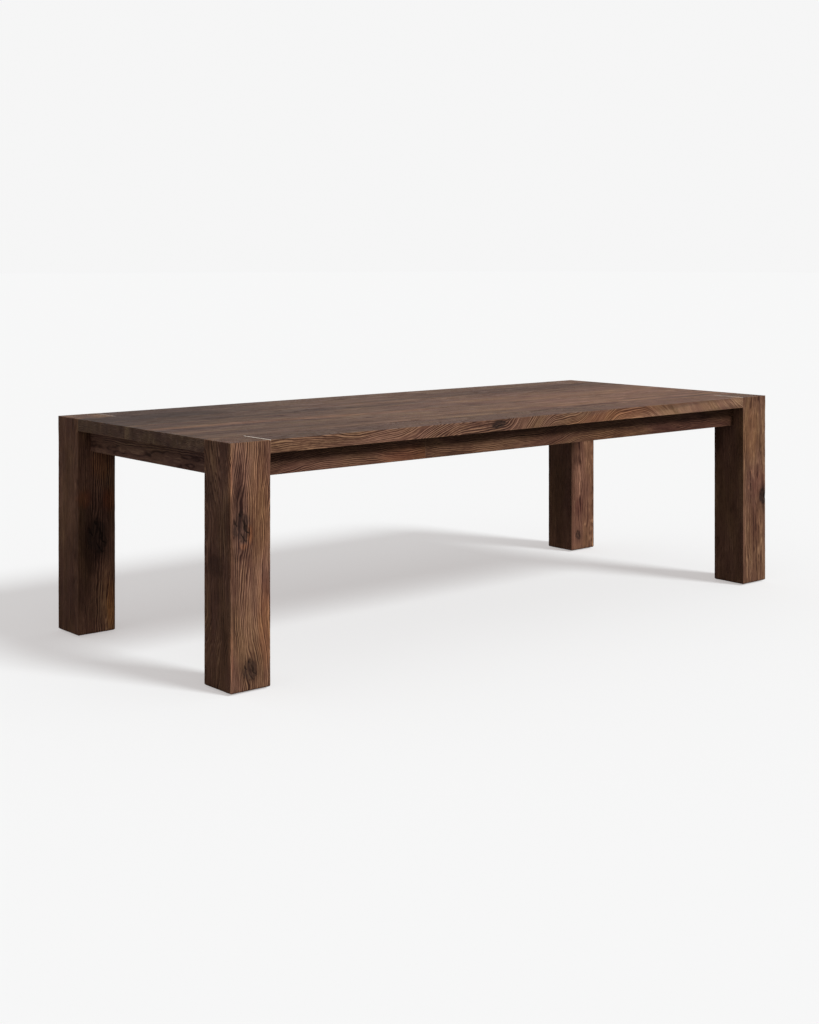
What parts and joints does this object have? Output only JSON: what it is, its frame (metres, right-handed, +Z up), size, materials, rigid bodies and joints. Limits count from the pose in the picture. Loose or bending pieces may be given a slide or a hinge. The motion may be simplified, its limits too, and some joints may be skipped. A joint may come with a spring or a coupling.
{
  "type": "dining table",
  "caption": "Rectangular parsons dining table with thick square corner legs that rise level with the plank top, and a shallow apron set back under it.",
  "frame": {"origin": "on the floor, under the middle of the top", "axes": "+X along the length, +Y across towards the back, +Z up"},
  "size_m": [2.62, 1.104, 0.762],
  "materials": {
    "leg_oak": "smoked oak, matte oil",
    "top_oak": "smoked oak, satin oil",
    "apron_oak": "smoked oak, matte oil",
    "frame_wood": "plain sawn, unfinished",
    "pale_inlay": "pale maple, satin oil",
    "zinc_steel": "zinc plated",
    "glide_nylon": "smooth matte"
  },
  "bodies": {
    "root": {"leg_front_left": "leg_oak", "leg_front_right": "leg_oak", "leg_back_right": "leg_oak", "leg_back_left": "leg_oak", "top_edge_board_front": "top_oak", "top_edge_board_back": "top_oak", "top_inner_board_1": "top_oak", "top_inner_board_2": "top_oak", "top_inner_board_3": "top_oak", "top_inner_board_4": "top_oak", "top_inner_board_5": "top_oak", "front_apron_short": "apron_oak", "front_apron_long": "apron_oak", "back_apron_short": "apron_oak", "back_apron_long": "apron_oak", "end_apron_left": "apron_oak", "end_apron_right": "apron_oak", "cross_bearer_left": "frame_wood", "cross_bearer_middle": "frame_wood", "cross_bearer_right": "frame_wood", "corner_block_front_left": "frame_wood", "corner_block_front_right": "frame_wood", "corner_block_back_right": "frame_wood", "corner_block_back_left": "frame_wood", "edge_splines": "frame_wood", "inner_splines": "frame_wood", "long_apron_buttons": "frame_wood", "end_apron_buttons": "frame_wood", "seam_inlays": "pale_inlay", "lag_bolts": "zinc_steel", "lag_washers": "zinc_steel", "glide_front_left": "glide_nylon", "glide_front_right": "glide_nylon", "glide_back_right": "glide_nylon", "glide_back_left": "glide_nylon"}
  },
  "joints": []
}
